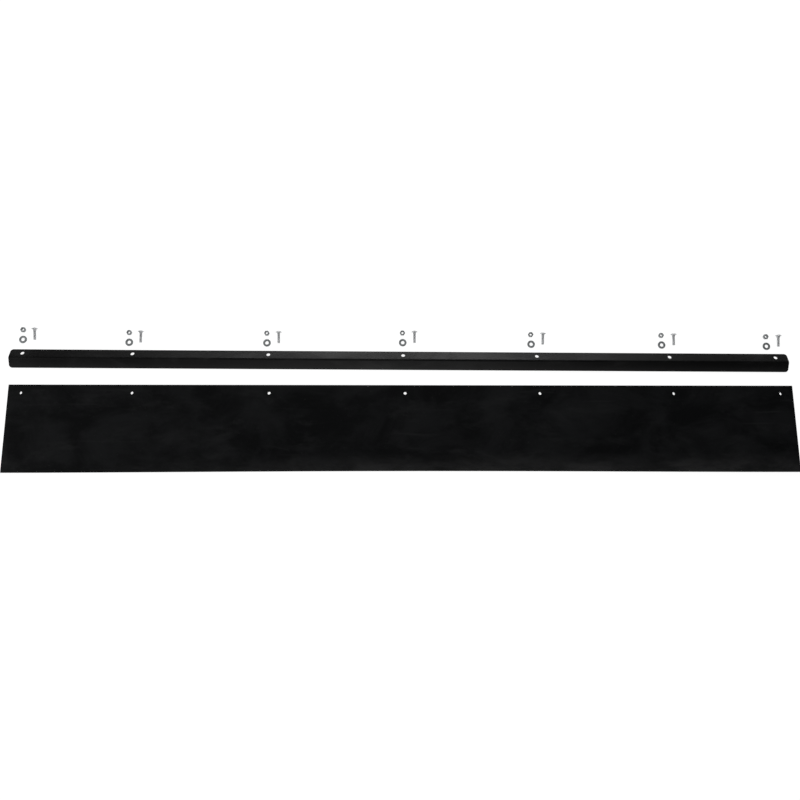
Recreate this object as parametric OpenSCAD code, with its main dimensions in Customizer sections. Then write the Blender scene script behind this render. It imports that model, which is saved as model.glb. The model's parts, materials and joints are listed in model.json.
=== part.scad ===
// Snow deflector kit for an ATV plow blade, laid out loose: a rubber flap, the bent
// steel strip that clamps it to the blade, and seven sets of bolt, washer and nut.
// The origin is the flap's centre hole, on the floor. +X runs along the flap, +Y from
// the flap to the strip and the hardware behind it, and +Z is up.

/* [Rubber flap] */
// Length of the flap
flap_l = 1828.8; // [1800:0.1:2200]
// Width of the flap, from its mounting edge to its free edge
flap_w = 203.2; // [150:0.1:300]
// Thickness of the rubber
flap_t = 6.35; // [4:0.05:10]
// Distance from the mounting edge to the line where the flap bends
flex_line = 57.15; // [45:0.05:100]

/* [Hole row] */
// Distance between neighbouring holes, all but the last at each end
hole_pitch = 315.9; // [250:0.1:318]
// Distance from the last hole at each end to its neighbour
end_pitch = 254; // [150:0.1:255]
// Distance from the flap's mounting edge to the middle of its holes
flap_hole_edge = 19.05; // [10:0.05:30]
// Diameter of the holes in the flap
flap_hole_d = 7.14; // [5:0.01:10]
// Distance from the strip's rear edge to the middle of its holes, along the flange
strip_hole_edge = 11.1; // [6:0.1:12]
// Diameter of the holes in the strip
strip_hole_d = 8.7; // [5:0.01:10]

/* [Clamp strip] */
// Length of the strip
strip_l = 1828.8; // [1800:0.1:2200]
// Width of the flat bar that the strip is bent from
strip_w = 47.6; // [44:0.1:60]
// Thickness of the bar
strip_t = 2.5; // [2:0.1:5]
// Slope of each flange to the floor
strip_slope = 24; // [10:0.5:40]
// Radius inside the bend
strip_bend_r = 4.8; // [2:0.1:8]
// Radius of the four corners
strip_corner_r = 7; // [2:0.1:9]
// Middle of the strip along X
strip_x = -4.3; // [-20:0.1:20]
// Middle of the strip along Y
strip_y = 78.5; // [76:0.1:80]
// How far the strip is turned on the floor
strip_turn = -0.22; // [-0.4:0.01:0.4]

/* [Bolts] */
// Diameter of the bolt's shank
bolt_d = 6.35; // [5:0.01:8]
// Length of the bolt under its head
bolt_l = 25.4; // [20:0.1:30]
// Diameter of the round head
bolt_head_d = 14.7; // [12:0.1:16]
// Height of the round head
bolt_head_h = 3.6; // [2.5:0.1:4]
// Height of the rim under the head's dome
bolt_rim_h = 0.7; // [0.3:0.1:1]
// Width of the square neck
bolt_neck_w = 6.5; // [5.5:0.1:7.5]
// Length of the square neck
bolt_neck_l = 3.7; // [3:0.1:5]
// Chamfer at the bolt's tip
bolt_tip = 0.8; // [0.3:0.1:1.2]

/* [Nuts and washers] */
// Width of the nut across its flats
nut_flats = 11.11; // [10:0.01:14]
// Height of the nut
nut_h = 5.56; // [4:0.01:8]
// Diameter inside the nut's thread
nut_bore_d = 5.1; // [4:0.01:6]
// Outside diameter of the washer
washer_d = 18.1; // [14:0.1:19]
// Diameter of the washer's hole
washer_hole_d = 8.2; // [6.6:0.1:10]
// Thickness of the washer
washer_t = 1.6; // [1:0.1:2.5]

/* [Hidden] */
$fn = 96;
// Where each set of hardware lies: the middle of its washer
SETS = [[-894, 128], [-647, 122], [-325, 121.5], [-5, 123], [300, 120], [612.5, 119], [865, 116.5]];
// The small turn of each bolt on the floor
BOLT_TURNS = [1.5, -1, 0.5, 0, -1.5, 1, -0.5];
// From the washer to the nut, and to the underside of the bolt's head
NUT_STEP = [-0.7, 23];
BOLT_STEP = [27.7, 23.8];

// The seven holes' places along the row, from left to right
hole_xs = [for (i = [-3:3]) sign(i) * (min(abs(i), 2) * hole_pitch + (abs(i) == 3 ? end_pitch : 0))];
flap_back = flap_hole_edge;
flap_front = flap_hole_edge - flap_w;
flex_y = flap_hole_edge - flex_line;

bend_outer = strip_bend_r + strip_t;
bend_middle = strip_bend_r + strip_t / 2;
bend_arc = 2 * PI * bend_middle * 2 * strip_slope / 360;
flange_w = (strip_w - bend_arc) / 2;
// The number of flat faces round the bend
bend_steps = 16;
// The bend's centre, so high that both edges of the strip rest on the floor
bend_z = flange_w * sin(strip_slope) - strip_bend_r * cos(strip_slope);

// A bolt on the floor rests on its head's rim and on the edge of its tip
bolt_drop = bolt_head_d / 2 - bolt_d / 2;
bolt_run = bolt_l - bolt_tip;
bolt_lean = atan(bolt_drop / bolt_run);
bolt_z = bolt_head_d / 2 * cos(bolt_lean);
dome_h = bolt_head_h - bolt_rim_h;
dome_r = (pow(bolt_head_d / 2, 2) + pow(dome_h, 2)) / (2 * dome_h);

nut_corners = nut_flats / cos(30);
nut_chamfer_slope = 30;
eps = 1;

// A band of the rubber sheet between two lines along it
module flap_band(from_y, to_y) {
    translate([-flap_l / 2, from_y, 0])
        cube([flap_l, to_y - from_y, flap_t]);
}

// The part of the flap that is clamped, with its row of holes
module flap_mounting_edge() {
    color([0.06, 0.06, 0.065])
    difference() {
        flap_band(flex_y, flap_back);
        for (x = hole_xs)
            translate([x, 0, -eps])
                cylinder(d = flap_hole_d, h = flap_t + 2 * eps);
    }
}

// The part of the flap that hangs free and bends
module flap_apron() {
    color([0.06, 0.06, 0.065])
        flap_band(flap_front, flex_y);
}

// The strip's cross-section, Y across and Z up: points round the bend, a corner at each edge
function bend_points(r, from, to) = [
    for (i = [0:bend_steps])
        let (a = from + (to - from) * i / bend_steps)
            [r * sin(a), bend_z + r * cos(a)]
];
function flange_edge(side, r) = [
    side * (r * sin(strip_slope) + flange_w * cos(strip_slope)),
    bend_z + r * cos(strip_slope) - flange_w * sin(strip_slope)
];

// The bar after bending, with square corners and no holes
module bent_bar() {
    translate([-strip_l / 2, 0, 0])
        rotate([90, 0, 90])
            linear_extrude(strip_l)
                polygon(concat(
                    [flange_edge(-1, strip_bend_r), flange_edge(-1, bend_outer)],
                    bend_points(bend_outer, -strip_slope, strip_slope),
                    [flange_edge(1, bend_outer), flange_edge(1, strip_bend_r)],
                    bend_points(strip_bend_r, strip_slope, -strip_slope)
                ));
}

// Puts something drawn on a flat flange, from the bend at y = 0, onto the sloping one
module on_flange() {
    translate([0, 0, bend_z])
        rotate([-strip_slope, 0, 0])
            translate([0, 0, strip_bend_r - eps])
                children();
}

// The waste outside the two round corners of a flange
module corner_waste() {
    for (side = [0, 1])
        mirror([side, 0, 0])
            translate([strip_l / 2 - strip_corner_r, flange_w - strip_corner_r, 0])
                difference() {
                    cube([strip_corner_r + eps, strip_corner_r + eps, strip_t + 2 * eps]);
                    translate([0, 0, -eps])
                        cylinder(r = strip_corner_r, h = strip_t + 4 * eps);
                }
}

// The holes through the rear flange, square to it
module strip_holes() {
    for (x = hole_xs)
        translate([x, flange_w - strip_hole_edge, 0])
            cylinder(d = strip_hole_d, h = strip_t + 2 * eps);
}

// The bent bar that clamps the flap, lying on its two long edges
module clamp_strip() {
    color([0.13, 0.13, 0.135])
    translate([strip_x, strip_y, 0])
        rotate([0, 0, strip_turn])
            difference() {
                bent_bar();
                on_flange() {
                    strip_holes();
                    corner_waste();
                }
                mirror([0, 1, 0])
                    on_flange()
                        corner_waste();
            }
}

// A round-headed bolt standing on its tip's end, the underside of its head at z = 0
module carriage_bolt() {
    // The head: a short rim under a low dome
    cylinder(d = bolt_head_d, h = bolt_rim_h);
    intersection() {
        translate([0, 0, bolt_head_h - dome_r])
            sphere(r = dome_r);
        cylinder(d = bolt_head_d, h = bolt_head_h + eps);
    }
    // The square neck
    translate([-bolt_neck_w / 2, -bolt_neck_w / 2, -bolt_neck_l])
        cube([bolt_neck_w, bolt_neck_w, bolt_neck_l]);
    // The shank and its chamfered tip
    translate([0, 0, -bolt_run])
        cylinder(d = bolt_d, h = bolt_run);
    translate([0, 0, -bolt_l])
        cylinder(d1 = bolt_d - 2 * bolt_tip, d2 = bolt_d, h = bolt_tip);
}

// A bolt lying on the floor, its head towards +Y
module bolt(i) {
    color([0.80, 0.80, 0.78])
    translate([SETS[i][0] + BOLT_STEP[0], SETS[i][1] + BOLT_STEP[1], bolt_z])
        rotate([0, 0, BOLT_TURNS[i]])
            rotate([bolt_lean - 90, 0, 0])
                carriage_bolt();
}

// A flat washer on the floor
module washer(i) {
    color([0.52, 0.52, 0.53])
    translate([SETS[i][0], SETS[i][1], 0])
        difference() {
            cylinder(d = washer_d, h = washer_t);
            translate([0, 0, -eps])
                cylinder(d = washer_hole_d, h = washer_t + 2 * eps);
        }
}

// The cone that takes the corners off one end of a nut
module nut_chamfer() {
    tall = nut_corners * tan(nut_chamfer_slope);
    cylinder(d1 = nut_flats + 2 * tall / tan(nut_chamfer_slope), d2 = nut_flats, h = tall);
}

// A hexagon nut on the floor, two corners along X
module nut(i) {
    tall = nut_corners * tan(nut_chamfer_slope);
    color([0.50, 0.50, 0.52])
    translate([SETS[i][0] + NUT_STEP[0], SETS[i][1] + NUT_STEP[1], 0])
        difference() {
            intersection() {
                cylinder(d = nut_corners, h = nut_h, $fn = 6);
                translate([0, 0, nut_h - tall])
                    nut_chamfer();
                translate([0, 0, tall])
                    mirror([0, 0, 1])
                        nut_chamfer();
            }
            translate([0, 0, -eps])
                cylinder(d = nut_bore_d, h = nut_h + 2 * eps);
        }
}

flap_mounting_edge();
flap_apron();
clamp_strip();
for (i = [0:len(SETS) - 1]) {
    bolt(i);
    washer(i);
    nut(i);
}
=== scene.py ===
"""A snow deflector kit for an ATV plow blade, laid out loose on a pale floor: the rubber
flap, the bent steel strip that clamps it, and seven sets of carriage bolt, washer and nut.
Lengths are in metres, in the frame of the CAD model, which gives the place of every piece."""
import json
import math

import bmesh
import bpy
from mathutils import Matrix, Vector


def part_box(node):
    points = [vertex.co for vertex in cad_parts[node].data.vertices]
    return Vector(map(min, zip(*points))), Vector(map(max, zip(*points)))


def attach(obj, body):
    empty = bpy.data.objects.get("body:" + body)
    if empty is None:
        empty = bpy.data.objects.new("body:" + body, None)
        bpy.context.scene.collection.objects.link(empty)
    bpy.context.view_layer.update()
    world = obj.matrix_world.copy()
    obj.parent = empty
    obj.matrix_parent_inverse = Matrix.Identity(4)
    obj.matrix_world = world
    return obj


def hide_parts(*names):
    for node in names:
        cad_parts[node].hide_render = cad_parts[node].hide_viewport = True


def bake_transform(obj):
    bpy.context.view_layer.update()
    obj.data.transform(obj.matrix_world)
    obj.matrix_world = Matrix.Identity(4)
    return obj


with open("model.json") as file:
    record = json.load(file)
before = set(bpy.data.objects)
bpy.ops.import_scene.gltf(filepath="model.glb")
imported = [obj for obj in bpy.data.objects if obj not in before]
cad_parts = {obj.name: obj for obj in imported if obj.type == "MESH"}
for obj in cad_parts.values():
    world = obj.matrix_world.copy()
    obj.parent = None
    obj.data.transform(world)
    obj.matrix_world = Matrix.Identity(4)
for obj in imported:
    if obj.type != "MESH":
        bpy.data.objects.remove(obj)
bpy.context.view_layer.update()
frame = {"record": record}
MM = 0.001
MOUNTS = {mount["name"]: mount for mount in frame["record"]["mounts"]}
SETS = range(1, 8)

# The strip's bar, as the CAD model has it
STRIP_LENGTH = 1828.8 * MM
STRIP_WIDTH = 47.6 * MM
STRIP_THICKNESS = 2.5 * MM
STRIP_BEND_RADIUS = 4.8 * MM
STRIP_CORNER_RADIUS = 7 * MM
STRIP_HOLE_EDGE = 11.1 * MM

# The quarter-inch bolt, nut and washer, as the CAD model has them
BOLT_LENGTH = 25.4 * MM
BOLT_RADIUS = 3.175 * MM
BOLT_TIP = 0.8 * MM
HEAD_RADIUS = 7.35 * MM
HEAD_HEIGHT = 3.6 * MM
HEAD_RIM = 0.7 * MM
NECK_HALF = 3.25 * MM
NECK_LENGTH = 3.7 * MM
NUT_HALF_FLATS = 5.555 * MM
NUT_HEIGHT = 5.56 * MM
WASHER_RADIUS = 9.05 * MM
WASHER_HOLE_RADIUS = 4.1 * MM
WASHER_THICKNESS = 1.6 * MM
THREAD_PITCH = 1.27 * MM
THREAD_DEPTH = 0.62 * MM

# Where the camera stands, and how it is turned: right of +Y, down, and about its own axis
EYE = (-0.052, -0.3494, 1.7136)
YAW, PITCH, ROLL = 6.8484, 78.8862, 6.7834
LENS = 33.696


# ---- Mesh helpers ----------------------------------------------------------------------

def finished(name, bm, material, smooth_angle=35):
    bmesh.ops.remove_doubles(bm, verts=bm.verts, dist=1e-7)
    bmesh.ops.recalc_face_normals(bm, faces=bm.faces)
    mesh = bpy.data.meshes.new(name)
    bm.to_mesh(mesh)
    bm.free()
    for face in mesh.polygons:
        face.use_smooth = True
    mesh.set_sharp_from_angle(angle=math.radians(smooth_angle))
    mesh.materials.append(material)
    piece = bpy.data.objects.new(name, mesh)
    bpy.context.scene.collection.objects.link(piece)
    return piece


def lofted(rings, closed=False, capped=True):
    """A skin over rings of points, each ring with the same number of points."""
    bm = bmesh.new()
    rows = [[bm.verts.new(point) for point in ring] for ring in rings]
    count = len(rows[0])
    pairs = list(zip(rows, rows[1:]))
    if closed:
        pairs.append((rows[-1], rows[0]))
    for lower, upper in pairs:
        for i in range(count):
            j = (i + 1) % count
            bm.faces.new((lower[i], lower[j], upper[j], upper[i]))
    if capped and not closed:
        bm.faces.new(list(reversed(rows[0])))
        bm.faces.new(rows[-1])
    return bm


def ring(count, radius_at, height_at):
    """A ring about Z. Both arguments are functions of the angle."""
    angles = [math.tau * i / count for i in range(count)]
    return [(radius_at(a) * math.cos(a), radius_at(a) * math.sin(a), height_at(a)) for a in angles]


def round_ring(count, radius, height):
    return ring(count, lambda angle: radius, lambda angle: height)


def steps(start, end, spacing):
    """Evenly spaced values from start to end, no further apart than spacing."""
    count = max(1, math.ceil(abs(end - start) / spacing - 1e-6))
    return [start + (end - start) * i / count for i in range(count + 1)]


def merged(values):
    """The values in order, without repeats."""
    kept = []
    for value in sorted(values):
        if not kept or value - kept[-1] > 1e-6:
            kept.append(value)
    return kept


HOLE_SIDE_STEPS = 8


def punched_sheet(xs, ys, holes, half_patch, hole_radius, thickness, edge_radius):
    """A flat sheet of quads between the lines xs and ys, with a round hole in a square patch of
    its own at each point of holes. It lies between z = -thickness and z = 0, and its edges
    are rounded off a little."""
    bm = bmesh.new()
    known = {}

    def vertex(x, y):
        key = (round(x * 1e6), round(y * 1e6))
        if key not in known:
            known[key] = bm.verts.new((x, y, 0))
        return known[key]

    def in_a_patch(x, y):
        return any(abs(x - hx) < half_patch and abs(y - hy) < half_patch for hx, hy in holes)

    for x0, x1 in zip(xs, xs[1:]):
        for y0, y1 in zip(ys, ys[1:]):
            if not in_a_patch((x0 + x1) / 2, (y0 + y1) / 2):
                bm.faces.new((vertex(x0, y0), vertex(x1, y0), vertex(x1, y1), vertex(x0, y1)))
    side = [-half_patch + 2 * half_patch * i / HOLE_SIDE_STEPS for i in range(HOLE_SIDE_STEPS)]
    square = ([(s, -half_patch) for s in side] + [(half_patch, s) for s in side]
              + [(-s, half_patch) for s in side] + [(-half_patch, -s) for s in side])
    for hx, hy in holes:
        rows = [[vertex(hx + x, hy + y) for x, y in square]]
        for share in (0.5, 0.8, 1.0):
            row = []
            for x, y in square:
                grow = hole_radius / math.hypot(x, y)
                scale = 1 + (grow - 1) * share
                row.append(vertex(hx + x * scale, hy + y * scale))
            rows.append(row)
        for outer, inner in zip(rows, rows[1:]):
            for i in range(len(square)):
                j = (i + 1) % len(square)
                bm.faces.new((outer[i], outer[j], inner[j], inner[i]))

    top = list(bm.faces)
    rim = [edge for edge in bm.edges if edge.is_boundary]
    below = {v: bm.verts.new(v.co - Vector((0, 0, thickness))) for v in list(bm.verts)}
    for face in top:
        bm.faces.new([below[v] for v in reversed(face.verts)])
    for edge in rim:
        a, b = edge.verts
        bm.faces.new((a, b, below[b], below[a]))
    bmesh.ops.recalc_face_normals(bm, faces=bm.faces)
    bm.edges.ensure_lookup_table()
    corners = [e for e in bm.edges if len(e.link_faces) == 2 and e.calc_face_angle(0) > math.radians(60)
               and abs(e.verts[0].co.z - e.verts[1].co.z) < 1e-6]
    bmesh.ops.bevel(bm, geom=corners, offset=edge_radius, segments=2, profile=0.5, affect="EDGES")
    return bm


# ---- Material helpers ------------------------------------------------------------------

class Surface:
    """A material under construction, with short names for the nodes that it needs."""

    def __init__(self, name, coordinates="Object"):
        self.material = bpy.data.materials.new(name)
        self.material.use_nodes = True
        self.tree = self.material.node_tree
        self.shader = self.tree.nodes["Principled BSDF"]
        if coordinates == "Object":
            self.place = self.add("ShaderNodeTexCoord").outputs["Object"]
        else:
            attribute = self.add("ShaderNodeAttribute")
            attribute.attribute_name = coordinates
            self.place = attribute.outputs["Vector"]

    def add(self, kind):
        return self.tree.nodes.new(kind)

    def link(self, source, target):
        self.tree.links.new(source, target)

    def set(self, **values):
        """Sets shader sockets. An underscore in a name stands for a space."""
        for name, value in values.items():
            self.shader.inputs[name.replace("_", " ")].default_value = value

    def stretched(self, scale, turn=0.0):
        mapping = self.add("ShaderNodeMapping")
        mapping.inputs["Scale"].default_value = scale
        mapping.inputs["Rotation"].default_value = (0, 0, math.radians(turn))
        self.link(self.place, mapping.inputs["Vector"])
        return mapping.outputs["Vector"]

    def noise(self, scale, detail=3.0, roughness=0.5, distortion=0.0, vector=None):
        node = self.add("ShaderNodeTexNoise")
        node.inputs["Scale"].default_value = scale
        node.inputs["Detail"].default_value = detail
        node.inputs["Roughness"].default_value = roughness
        node.inputs["Distortion"].default_value = distortion
        self.link(vector or self.place, node.inputs["Vector"])
        return node.outputs["Fac"]

    def ranged(self, value, low, high, to_low, to_high):
        node = self.add("ShaderNodeMapRange")
        node.interpolation_type = "SMOOTHSTEP"
        self.link(value, node.inputs["Value"])
        for name, number in (("From Min", low), ("From Max", high), ("To Min", to_low), ("To Max", to_high)):
            node.inputs[name].default_value = number
        return node.outputs["Result"]

    def maths(self, operation, a, b):
        node = self.add("ShaderNodeMath")
        node.operation = operation
        for socket, value in zip(node.inputs, (a, b)):
            if isinstance(value, (int, float)):
                socket.default_value = value
            else:
                self.link(value, socket)
        return node.outputs["Value"]

    def mixed(self, share, a, b):
        """A colour between a and b. Each is a colour or another mix."""
        node = self.add("ShaderNodeMix")
        node.data_type = "RGBA"
        self.link(share, node.inputs["Factor"])
        for socket, value in ((node.inputs["A"], a), (node.inputs["B"], b)):
            if isinstance(value, tuple):
                socket.default_value = (*value, 1)
            else:
                self.link(value, socket)
        return node.outputs["Result"]

    def colour(self, value):
        self.link(value, self.shader.inputs["Base Color"])

    def roughness(self, value):
        self.link(value, self.shader.inputs["Roughness"])

    def bump(self, *layers):
        """Stacks bumps. Each layer is a height from 0 to 1 and its depth in metres."""
        normal = None
        for height, depth in layers:
            node = self.add("ShaderNodeBump")
            node.inputs["Strength"].default_value = 1.0
            node.inputs["Distance"].default_value = depth
            self.link(height, node.inputs["Height"])
            if normal:
                self.link(normal, node.inputs["Normal"])
            normal = node.outputs["Normal"]
        self.link(normal, self.shader.inputs["Normal"])


# ---- Materials -------------------------------------------------------------------------

REST_PLACE = "rest_place"
# The flap's free edge, and how far in from it the painted highlight reaches
FREE_EDGE = -184 * MM
HIGHLIGHT_REACH = 49 * MM
# The line of the strip's front edge, its turn on the floor in degrees, and the width of the painted sheen
# along it
STRIP_FRONT = 56.5 * MM
STRIP_TURN = 0.22
SHEEN_WIDTH = 16 * MM


def rubber_material():
    """Matt black sheet rubber: cloudy bloom, wipe marks, dust, a painted highlight along the free edge,
    scratches and a fine grain.
    """
    s = Surface("black_rubber", REST_PLACE)
    s.set(Specular_IOR_Level=0.08)
    clouds = s.noise(9, detail=7, roughness=0.66, distortion=0.5, vector=s.stretched((0.8, 1.1, 1)))
    wipes = s.noise(14, detail=6, roughness=0.7, distortion=0.4, vector=s.stretched((0.5, 1.4, 1), turn=9))
    dust = s.noise(420, detail=2)
    grain = s.noise(1700, detail=2, roughness=0.7)
    skin = s.noise(140, detail=3, roughness=0.55)
    bloom = s.ranged(clouds, 0.38, 0.66, 0, 1)
    marks = s.ranged(wipes, 0.50, 0.72, 0, 0.7)
    specks = s.ranged(dust, 0.70, 0.76, 0, 0.5)
    base = s.mixed(bloom, (0.0016, 0.0018, 0.0021), (0.0072, 0.0076, 0.0082))
    base = s.mixed(marks, base, (0.0130, 0.0134, 0.0140))
    # Painted highlight: the free edge is made lighter, most towards its right half, broken up by the wipe
    # pattern
    split = s.add("ShaderNodeSeparateXYZ")
    s.link(s.place, split.inputs["Vector"])
    near_edge = s.ranged(split.outputs["Y"], FREE_EDGE, FREE_EDGE + HIGHLIGHT_REACH, 1, 0)
    highlight_spread = s.maths("MULTIPLY", near_edge, s.ranged(split.outputs["X"], -0.75, 0.15, 0.1, 1))
    painted_highlight = s.maths("MULTIPLY", highlight_spread, s.ranged(wipes, 0.35, 0.65, 0.25, 1))
    base = s.mixed(painted_highlight, base, (0.024, 0.024, 0.0245))
    slanted = s.stretched((0.10, 1.9, 1), turn=-24)
    scratches = s.noise(48, detail=3, roughness=0.5, distortion=0.4, vector=slanted)
    base = s.mixed(s.ranged(scratches, 0.64, 0.76, 0, 0.3), base, (0.020, 0.0205, 0.021))
    s.colour(s.mixed(specks, base, (0.035, 0.035, 0.034)))
    cloud_gloss = s.ranged(clouds, 0.35, 0.7, 0.68, 0.52)
    wipe_gloss = s.ranged(wipes, 0.4, 0.7, 0.05, -0.05)
    s.roughness(s.maths("ADD", cloud_gloss, wipe_gloss))
    s.bump((skin, 0.05 * MM), (grain, 0.03 * MM))
    return s.material


def powder_coat_material():
    """Black powder coat: a satin skin with orange peel, smudges, specks and a painted sheen along the front
    edge.
    """
    s = Surface("black_powder_coat")
    s.set(Specular_IOR_Level=0.18)
    smudges = s.noise(11, detail=6, roughness=0.6, distortion=0.6, vector=s.stretched((0.6, 1.4, 1)))
    peel = s.noise(520, detail=1.5, roughness=0.4)
    dust = s.noise(600, detail=2)
    touched = s.ranged(smudges, 0.50, 0.72, 0, 1)
    base = s.mixed(touched, (0.0008, 0.0008, 0.0009), (0.0110, 0.0110, 0.0114))
    # Painted sheen: the front flange is made lighter towards the strip's front edge, fading out across it
    split = s.add("ShaderNodeSeparateXYZ")
    s.link(s.stretched((1, 1, 1), turn=STRIP_TURN), split.inputs["Vector"])
    painted_sheen = s.ranged(split.outputs["Y"], STRIP_FRONT, STRIP_FRONT + SHEEN_WIDTH, 0.4, 0)
    base = s.mixed(painted_sheen, base, (0.020, 0.020, 0.0205))
    s.colour(s.mixed(s.ranged(dust, 0.71, 0.77, 0, 0.6), base, (0.05, 0.05, 0.05)))
    s.roughness(s.ranged(smudges, 0.35, 0.7, 0.40, 0.54))
    s.bump((peel, 0.05 * MM))
    return s.material


def zinc_material(name, dull, bright, gloss, metallic):
    """Zinc plate on steel: a mottled grey with fine drawing marks, more or less metallic."""
    s = Surface(name)
    s.set(Metallic=metallic)
    mottle = s.noise(260, detail=5, roughness=0.65, distortion=0.4)
    patches = s.noise(70, detail=3)
    marks = s.noise(900, detail=3, roughness=0.7, vector=s.stretched((1, 1, 0.15)))
    base = s.mixed(s.ranged(mottle, 0.35, 0.65, 0, 1), dull, bright)
    shade = tuple(0.72 * value for value in dull)
    s.colour(s.mixed(s.ranged(patches, 0.55, 0.75, 0, 0.6), base, shade))
    s.roughness(s.ranged(mottle, 0.3, 0.7, gloss, gloss + 0.16))
    s.bump((marks, 0.02 * MM))
    return s.material


# ---- The rubber flap -------------------------------------------------------------------

FLAP_PATCH = 12 * MM
FLAP_EDGE_RADIUS = 0.45 * MM
FLAP_BOW = 3.0 * MM


def make_flap(material):
    """One sheet for both flap nodes. Its free edge is cut a little hollow along its length."""
    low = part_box("flap_apron")[0]
    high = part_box("flap_mounting_edge")[1]
    thickness = high.z - low.z
    hole_radius = MOUNTS["flap_centre_hole"]["dims"]["r_mm"] * MM
    hole_xs = [0.0]
    for row in ("inner", "middle", "outer"):
        half = MOUNTS[f"flap_{row}_holes"]["dims"]["spacing_x_mm"] / 2 * MM
        hole_xs += [-half, half]
    hole_xs.sort()
    grid = [-FLAP_PATCH + 2 * FLAP_PATCH * i / HOLE_SIDE_STEPS for i in range(HOLE_SIDE_STEPS + 1)]
    xs = []
    before = low.x
    for x in hole_xs:
        xs += steps(before, x - FLAP_PATCH, 24 * MM) + [x + step for step in grid]
        before = x + FLAP_PATCH
    xs = merged(xs + steps(before, high.x, 24 * MM))
    bend_start, bend_end = -12 * MM, -92 * MM
    ys = merged(steps(low.y, bend_end, 12 * MM) + steps(bend_end, bend_start, 4 * MM)
                + grid + steps(FLAP_PATCH, high.y, 4 * MM))
    bm = punched_sheet(xs, ys, [(x, 0.0) for x in hole_xs], FLAP_PATCH,
                       hole_radius, thickness, FLAP_EDGE_RADIUS)
    for v in bm.verts:
        v.co.z += high.z
        along = (1 - (v.co.x / high.x) ** 2) ** 2
        across = min(1.0, max(0.0, (bend_start - v.co.y) / (bend_start - low.y)))
        v.co.y += FLAP_BOW * along * across
    flap = finished("rubber_flap", bm, material)
    rest = flap.data.attributes.new(REST_PLACE, "FLOAT_VECTOR", "POINT")
    for v in flap.data.vertices:
        rest.data[v.index].vector = v.co
    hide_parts("flap_mounting_edge", "flap_apron")
    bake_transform(flap)


# ---- The clamp strip -------------------------------------------------------------------

STRIP_PATCH = 8 * MM
STRIP_EDGE_RADIUS = 0.6 * MM


def make_strip(material):
    """The bar, first flat with its holes and round corners, then bent along its middle."""
    centre_hole = MOUNTS["strip_centre_hole"]
    axis = Vector(centre_hole["axis"])
    slope = math.acos(axis.z)
    turn = math.atan2(-axis.x, axis.y)
    low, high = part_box("clamp_strip")
    half_length, half_width = STRIP_LENGTH / 2, STRIP_WIDTH / 2
    middle_radius = STRIP_BEND_RADIUS + STRIP_THICKNESS / 2
    half_arc = middle_radius * slope
    hole_y = half_width - STRIP_HOLE_EDGE
    hole_xs = [0.0]
    for row in ("inner", "middle", "outer"):
        half = MOUNTS[f"strip_{row}_holes"]["dims"]["pcd_mm"] / 2 * MM
        hole_xs += [-half, half]
    hole_xs.sort()

    grid = [-STRIP_PATCH + 2 * STRIP_PATCH * i / HOLE_SIDE_STEPS for i in range(HOLE_SIDE_STEPS + 1)]
    corner = [STRIP_CORNER_RADIUS * math.sin(math.radians(a)) for a in range(0, 91, 10)]
    corner_x = half_length - STRIP_CORNER_RADIUS
    xs = [-corner_x - c for c in corner]
    before = -corner_x
    for x in hole_xs:
        xs += steps(before, x - STRIP_PATCH, 24 * MM) + [x + step for step in grid]
        before = x + STRIP_PATCH
    xs = merged(xs + steps(before, corner_x, 24 * MM) + [corner_x + c for c in corner])
    ys = merged(steps(-half_width, -half_arc, 2.5 * MM) + steps(-half_arc, half_arc, 0.45 * MM)
                + steps(half_arc, hole_y - STRIP_PATCH, 2.5 * MM) + [hole_y + step for step in grid]
                + steps(hole_y + STRIP_PATCH, half_width, 1.2 * MM))
    bm = punched_sheet(xs, ys, [(x, hole_y) for x in hole_xs], STRIP_PATCH,
                       MOUNTS["strip_centre_hole"]["dims"]["r_mm"] * MM, STRIP_THICKNESS, STRIP_EDGE_RADIUS)
    # Round the corners: past corner_x, the outer bands close in along a quarter circle
    straight = half_width - STRIP_CORNER_RADIUS
    for v in bm.verts:
        past = min(1.0, max(0.0, (abs(v.co.x) - corner_x) / STRIP_CORNER_RADIUS))
        out = abs(v.co.y) - straight
        if past > 0 and out > 0:
            v.co.y = math.copysign(straight + out * math.sqrt(1 - past * past), v.co.y)
    # Bend it: y becomes an angle round the bend, then the distance down a flange
    bend_z = low.z + (half_width - half_arc) * math.sin(slope) - STRIP_BEND_RADIUS * math.cos(slope)
    for v in bm.verts:
        angle = max(-slope, min(slope, v.co.y / middle_radius))
        down = v.co.y - angle * middle_radius
        radius = STRIP_BEND_RADIUS + STRIP_THICKNESS + v.co.z
        v.co.y = radius * math.sin(angle) + down * math.cos(angle)
        v.co.z = bend_z + radius * math.cos(angle) - abs(down) * math.sin(slope)
    strip = finished("bent_strip", bm, material)
    centre = (low + high) / 2
    strip.data.transform(Matrix.Translation((centre.x, centre.y, 0)) @ Matrix.Rotation(turn, 4, "Z"))
    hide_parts("clamp_strip")
    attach(strip, "strip")


# ---- Bolts, washers and nuts -----------------------------------------------------------

BOLT_SEGMENTS = 32
NUT_SEGMENTS = 48
WASHER_SEGMENTS = 64
RINGS_PER_TURN = 6


def thread_wave(height, angle):
    """0 at a thread's root and 1 at its crest, for a right-hand thread about Z."""
    turn = (height / THREAD_PITCH - angle / math.tau) % 1.0
    return min(1.0, max(0.0, 1.35 * (1 - abs(2 * turn - 1)) - 0.12))


def eased(value):
    value = min(1.0, max(0.0, value))
    return value * value * (3 - 2 * value)


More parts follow.
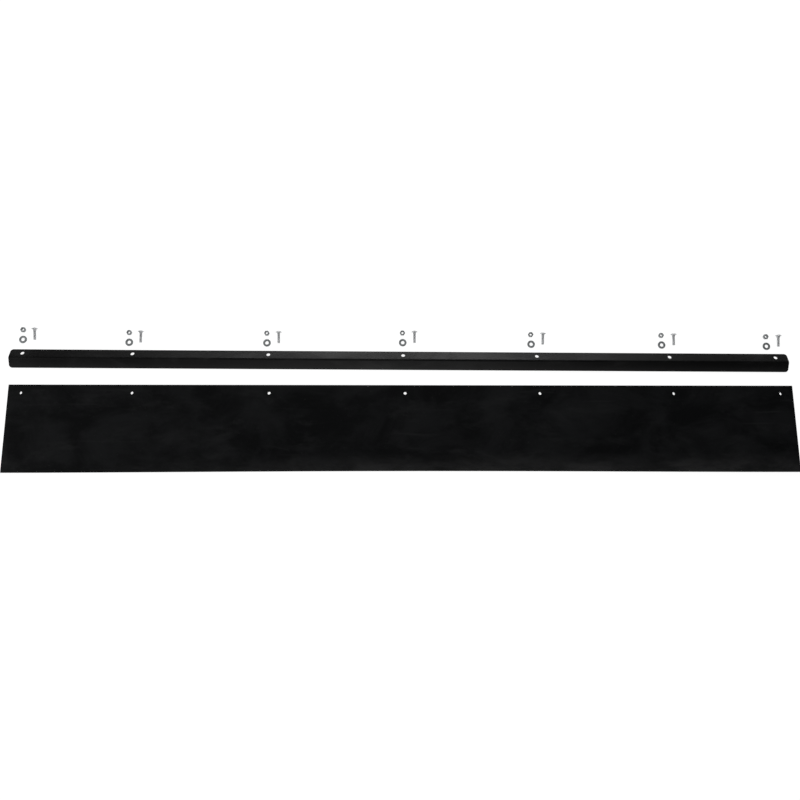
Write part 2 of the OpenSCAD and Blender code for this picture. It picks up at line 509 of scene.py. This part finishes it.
def bolt_rings():
    """From the tip up to the crown: chamfer, thread, square neck, flat underside, rim and dome."""
    def shank(height):
        fade = eased((height + BOLT_LENGTH) / (1.2 * THREAD_PITCH))
        fade *= eased((-NECK_LENGTH - height) / (0.8 * THREAD_PITCH))
        taper = max(0.0, BOLT_TIP - (height + BOLT_LENGTH))

        def radius(angle):
            return BOLT_RADIUS - taper - THREAD_DEPTH * fade * (1 - thread_wave(height, angle))
        return ring(BOLT_SEGMENTS, radius, lambda angle: height)

    def neck(height, half, corner):
        def radius(angle):
            return min(half / max(abs(math.cos(angle)), abs(math.sin(angle))), corner)
        return ring(BOLT_SEGMENTS, radius, lambda angle: height)

    tip_radius = BOLT_RADIUS - BOLT_TIP
    rings = [round_ring(BOLT_SEGMENTS, share * tip_radius, -BOLT_LENGTH) for share in (0.15, 0.6)]
    rings += [shank(z) for z in steps(-BOLT_LENGTH, -NECK_LENGTH - 0.3 * MM, THREAD_PITCH / RINGS_PER_TURN)]
    corner = NECK_HALF * 1.32
    rings += [neck(-NECK_LENGTH, NECK_HALF - 0.35 * MM, corner - 0.9 * MM),
              neck(-NECK_LENGTH + 0.35 * MM, NECK_HALF, corner - 0.1 * MM),
              neck(-NECK_LENGTH + 0.7 * MM, NECK_HALF, corner), neck(-0.25 * MM, NECK_HALF, corner),
              neck(0, NECK_HALF + 0.2 * MM, corner + 0.25 * MM)]
    rings += [round_ring(BOLT_SEGMENTS, r, 0) for r in (HEAD_RADIUS * 0.78, HEAD_RADIUS - 0.2 * MM)]
    rings += [round_ring(BOLT_SEGMENTS, HEAD_RADIUS, z) for z in (0.18 * MM, HEAD_RIM - 0.12 * MM)]
    dome = HEAD_HEIGHT - HEAD_RIM
    dome_radius = (HEAD_RADIUS ** 2 + dome ** 2) / (2 * dome)
    for share in (0.985, 0.95, 0.88, 0.78, 0.66, 0.52, 0.38, 0.24, 0.1):
        radius = HEAD_RADIUS * share
        height = HEAD_HEIGHT - dome_radius + math.sqrt(dome_radius ** 2 - radius ** 2)
        rings.append(round_ring(BOLT_SEGMENTS, radius, height))
    return rings


def nut_rings():
    """Round the section of a hexagon nut: outside with its chamfers, then down the threaded bore."""
    face_radius = NUT_HALF_FLATS * 0.95
    slope = math.tan(math.radians(30))
    root = BOLT_RADIUS + 0.05 * MM
    crest = root - THREAD_DEPTH
    mouth = root + 0.35 * MM
    face_radii = (mouth, (root + face_radius) / 2, face_radius)

    def side(angle):
        from_corner = angle % math.radians(60)
        return NUT_HALF_FLATS / math.cos(from_corner - math.radians(30))

    def drop(angle):
        return (side(angle) - face_radius) * slope

    def bore(height):
        fade = eased(height / THREAD_PITCH) * eased((NUT_HEIGHT - height) / THREAD_PITCH)

        def radius(angle):
            return root - (root - crest) * fade * thread_wave(height, angle)
        return ring(NUT_SEGMENTS, radius, lambda angle: height)

    rings = [round_ring(NUT_SEGMENTS, r, 0) for r in face_radii]
    rings += [ring(NUT_SEGMENTS, side, drop), ring(NUT_SEGMENTS, side, lambda a: NUT_HEIGHT - drop(a))]
    rings += [round_ring(NUT_SEGMENTS, r, NUT_HEIGHT) for r in reversed(face_radii)]
    rings += [bore(z) for z in steps(NUT_HEIGHT - 0.3 * MM, 0.3 * MM, THREAD_PITCH / RINGS_PER_TURN)]
    return rings


def washer_rings():
    """A stamped washer: its upper edges are drawn round, its lower ones are sharper."""
    top, soft, sharp = WASHER_THICKNESS, 0.35 * MM, 0.12 * MM
    outer, inner = WASHER_RADIUS, WASHER_HOLE_RADIUS
    section = [(inner + sharp, 0), (outer - sharp, 0), (outer, sharp), (outer, top - soft),
               (outer - 0.3 * soft, top - 0.3 * soft), (outer - soft, top),
               ((outer + inner) / 2, top), (inner + soft, top), (inner + 0.3 * soft, top - 0.3 * soft),
               (inner, top - soft), (inner, sharp)]
    return [round_ring(WASHER_SEGMENTS, r, z) for r, z in section]


def make_hardware(bolt_material, plate_material):
    """Seven sets. The CAD model's mounts say where each piece lies and how it is turned."""
    def put(name, rings, closed, material, place, node):
        piece = finished(name, lofted(rings, closed=closed), material)
        piece.data.transform(place)
        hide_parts(node)
        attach(piece, node)

    for i in SETS:
        shank = MOUNTS[f"bolt_{i}_shank"]
        to_head = -Vector(shank["axis"])
        under_head = Vector(shank["pos_m"]) + to_head * (NECK_LENGTH + shank["dims"]["length_mm"] / 2 * MM)
        across = to_head.cross(Vector((0, 0, 1))).normalized()
        up = across.cross(to_head)
        bolt_place = Matrix((across, up, to_head)).transposed().to_4x4()
        bolt_place.translation = under_head
        put(f"carriage_bolt_{i}", bolt_rings(), False, bolt_material, bolt_place, f"bolt_{i}")
        x, y, _ = MOUNTS[f"washer_{i}_hole"]["pos_m"]
        put(f"flat_washer_{i}", washer_rings(), True, plate_material,
            Matrix.Translation((x, y, 0)), f"washer_{i}")
        x, y, _ = MOUNTS[f"nut_{i}_thread"]["pos_m"]
        put(f"hex_nut_{i}", nut_rings(), True, plate_material,
            Matrix.Translation((x, y, 0)), f"nut_{i}")


# ---- Floor, light and camera -----------------------------------------------------------

def make_floor():
    s = Surface("white_floor")
    s.set(Base_Color=(0.2, 0.2, 0.2, 1), Roughness=0.9, Specular_IOR_Level=0.0,
          Emission_Color=(1, 1, 1, 1), Emission_Strength=0.93)
    half = 30.0
    mesh = bpy.data.meshes.new("floor")
    corners = [(-half, -half, 0), (half, -half, 0), (half, half, 0), (-half, half, 0)]
    mesh.from_pydata(corners, [], [(0, 1, 2, 3)])
    mesh.materials.append(s.material)
    floor = bpy.data.objects.new("floor", mesh)
    floor.location.z = -0.1 * MM
    bpy.context.scene.collection.objects.link(floor)


def softbox(name, place, aim, size, watts):
    """A rectangular studio light at place, facing aim."""
    light = bpy.data.lights.new(name, "AREA")
    light.shape = "RECTANGLE"
    light.size, light.size_y = size
    light.energy = watts
    lamp = bpy.data.objects.new(name, light)
    lamp.location = place
    lamp.rotation_euler = (Vector(aim) - Vector(place)).to_track_quat("-Z", "Y").to_euler()
    bpy.context.scene.collection.objects.link(lamp)


def make_light():
    world = bpy.data.worlds.new("studio")
    world.use_nodes = True
    background = world.node_tree.nodes["Background"]
    background.inputs["Color"].default_value = (1, 1, 1, 1)
    background.inputs["Strength"].default_value = 0.10
    bpy.context.scene.world = world
    softbox("rear_softbox", (0.15, 3.2, 1.6), (0, 0, 0), (2.4, 1.2), 70)
    softbox("front_softbox", (-0.1, -2.2, 2.4), (0, 0, 0), (1.1, 1.0), 24)
    softbox("left_softbox", (-3.4, -0.4, 1.8), (0, 0, 0), (1.6, 1.2), 40)
    bpy.context.scene.view_settings.view_transform = "Standard"


def make_camera():
    yaw, pitch, roll = (math.radians(angle) for angle in (YAW, PITCH, ROLL))
    ahead = Vector((math.sin(yaw) * math.cos(pitch), math.cos(yaw) * math.cos(pitch), -math.sin(pitch)))
    right = ahead.cross(Vector((0, 0, 1))).normalized()
    turned = Matrix((right, right.cross(ahead), -ahead)).transposed().to_4x4()
    camera = bpy.data.objects.new("camera", bpy.data.cameras.new("camera"))
    camera.data.lens = LENS
    camera.data.clip_start, camera.data.clip_end = 0.05, 100
    camera.matrix_world = Matrix.Translation(EYE) @ turned @ Matrix.Rotation(roll, 4, "Z")
    bpy.context.scene.collection.objects.link(camera)
    bpy.context.scene.camera = camera


make_flap(rubber_material())
make_strip(powder_coat_material())
make_hardware(zinc_material("bright_zinc", (0.50, 0.51, 0.52), (0.70, 0.71, 0.72), 0.46, 0.2),
              zinc_material("grey_zinc", (0.27, 0.285, 0.29), (0.40, 0.42, 0.43), 0.44, 0.8))
make_floor()
make_light()
make_camera()

bpy.context.view_layer.update()
